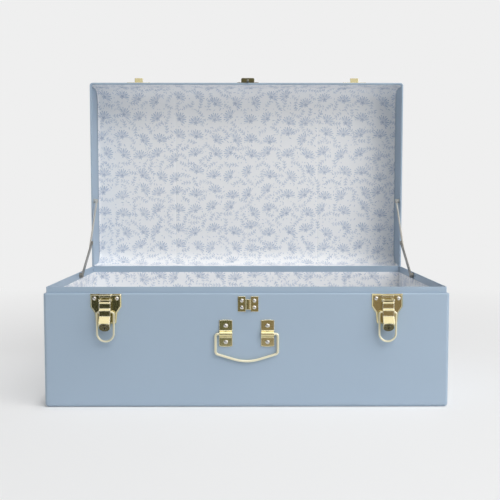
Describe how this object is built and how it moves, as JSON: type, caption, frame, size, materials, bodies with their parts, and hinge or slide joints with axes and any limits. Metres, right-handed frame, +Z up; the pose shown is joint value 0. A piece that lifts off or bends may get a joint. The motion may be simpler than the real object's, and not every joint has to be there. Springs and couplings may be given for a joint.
{
  "type": "storage trunk",
  "caption": "Sheet-steel storage trunk with a hinged lid, printed lining, brass toggle latches, wire carrying handle, centre dowel and folding lid stays, shown open.",
  "frame": {"origin": "centre of the base's underside, on the floor", "axes": "+X to the right along the trunk's length, +Y from the latches to the hinges, +Z up"},
  "size_m": [0.55, 0.4141, 0.4952],
  "materials": {
    "blue_paint": "satin pale blue-grey paint",
    "printed_lining": "matt off-white paper with a small pale blue print",
    "brass": "polished brass plate",
    "nickel": "bright nickel plate",
    "steel": "bright zinc plate"
  },
  "bodies": {
    "base": {"base_shell": "blue_paint", "base_collar": "blue_paint", "base_board_floor": "printed_lining", "base_board_front": "printed_lining", "base_board_back": "printed_lining", "base_board_left": "printed_lining", "base_board_right": "printed_lining", "hinge_base_rivets": "nickel", "dowel_socket": "brass", "dowel_socket_rivets": "nickel", "handle_rivets": "nickel", "hinge_left_base_leaf": "steel", "hinge_left_pin": "steel", "latch_left_plate": "brass", "latch_left_rivets": "nickel", "latch_left_lever_pin": "brass", "handle_clip_left": "brass", "stay_left_foot_pin": "steel", "hinge_right_base_leaf": "steel", "hinge_right_pin": "steel", "latch_right_plate": "brass", "latch_right_rivets": "nickel", "latch_right_lever_pin": "brass", "handle_clip_right": "brass", "stay_right_foot_pin": "steel"},
    "lid": {"lid_shell": "blue_paint", "lid_lining": "printed_lining", "hinge_lid_rivets": "nickel", "lid_dowel": "brass", "lid_dowel_rivets": "nickel", "hinge_left_lid_leaf": "steel", "catch_left": "brass", "catch_left_rivets": "nickel", "stay_left_lid_pin": "steel", "hinge_right_lid_leaf": "steel", "catch_right": "brass", "catch_right_rivets": "nickel", "stay_right_lid_pin": "steel"},
    "latch_lever_left": {"latch_left_lever": "brass", "latch_left_lock_barrel": "brass"},
    "latch_loop_left": {"latch_left_loop": "brass"},
    "lock_plug_left": {"latch_left_lock_plug": "brass"},
    "stay_lower_left": {"stay_left_lower_link": "steel", "stay_left_elbow_rivet": "steel"},
    "stay_upper_left": {"stay_left_upper_link": "steel", "stay_left_elbow_end": "steel"},
    "latch_lever_right": {"latch_right_lever": "brass", "latch_right_lock_barrel": "brass"},
    "latch_loop_right": {"latch_right_loop": "brass"},
    "lock_plug_right": {"latch_right_lock_plug": "brass"},
    "stay_lower_right": {"stay_right_lower_link": "steel", "stay_right_elbow_rivet": "steel"},
    "stay_upper_right": {"stay_right_upper_link": "steel", "stay_right_elbow_end": "steel"},
    "handle": {"handle_bail": "brass"}
  },
  "joints": [
    {"name": "lid_hinge", "type": "hinge", "parent": "base", "child": "lid", "pos_m": [0, 0.167, 0.156], "axis": [-1, 0, 0], "range_deg": [-90, 0]},
    {"name": "latch_lever_left_pivot", "type": "hinge", "parent": "base", "child": "latch_lever_left", "pos_m": [-0.19, -0.1686, 0.1472], "axis": [-1, 0, 0], "range_deg": [0, 105]},
    {"name": "latch_loop_left_pivot", "type": "hinge", "parent": "latch_lever_left", "child": "latch_loop_left", "pos_m": [-0.19, -0.169, 0.1313], "axis": [1, 0, 0], "range_deg": [-180, 0]},
    {"name": "lock_plug_left_turn", "type": "hinge", "parent": "latch_lever_left", "child": "lock_plug_left", "pos_m": [-0.19, -0.1764, 0.11204], "axis": [0, -0.7778, -0.6285], "range_deg": [0, 90]},
    {"name": "stay_lower_left_foot", "type": "hinge", "parent": "base", "child": "stay_lower_left", "pos_m": [-0.266, 0.043, 0.1595], "axis": [-1, 0, 0], "range_deg": [0, 32]},
    {"name": "stay_upper_left_top", "type": "hinge", "parent": "lid", "child": "stay_upper_left", "pos_m": [-0.268, 0.181, 0.27926], "axis": [-1, 0, 0], "range_deg": [-32, 0]},
    {"name": "latch_lever_right_pivot", "type": "hinge", "parent": "base", "child": "latch_lever_right", "pos_m": [0.19, -0.1686, 0.1472], "axis": [-1, 0, 0], "range_deg": [0, 105]},
    {"name": "latch_loop_right_pivot", "type": "hinge", "parent": "latch_lever_right", "child": "latch_loop_right", "pos_m": [0.19, -0.169, 0.1313], "axis": [1, 0, 0], "range_deg": [-180, 0]},
    {"name": "lock_plug_right_turn", "type": "hinge", "parent": "latch_lever_right", "child": "lock_plug_right", "pos_m": [0.19, -0.1764, 0.11204], "axis": [0, -0.7778, -0.6285], "range_deg": [0, 90]},
    {"name": "stay_lower_right_foot", "type": "hinge", "parent": "base", "child": "stay_lower_right", "pos_m": [0.266, 0.043, 0.1595], "axis": [-1, 0, 0], "range_deg": [0, 32]},
    {"name": "stay_upper_right_top", "type": "hinge", "parent": "lid", "child": "stay_upper_right", "pos_m": [0.268, 0.181, 0.27926], "axis": [-1, 0, 0], "range_deg": [-32, 0]},
    {"name": "handle_pivot", "type": "hinge", "parent": "base", "child": "handle", "pos_m": [0, -0.16505, 0.1009], "axis": [-1, 0, 0], "range_deg": [0, 150]}
  ],
  "couplings": [
    {"joint": "stay_lower_left_foot", "follows": "lid_hinge", "ratio": -0.35348},
    {"joint": "stay_upper_left_top", "follows": "lid_hinge", "ratio": 0.35348},
    {"joint": "stay_lower_right_foot", "follows": "lid_hinge", "ratio": -0.35348},
    {"joint": "stay_upper_right_top", "follows": "lid_hinge", "ratio": 0.35348}
  ]
}
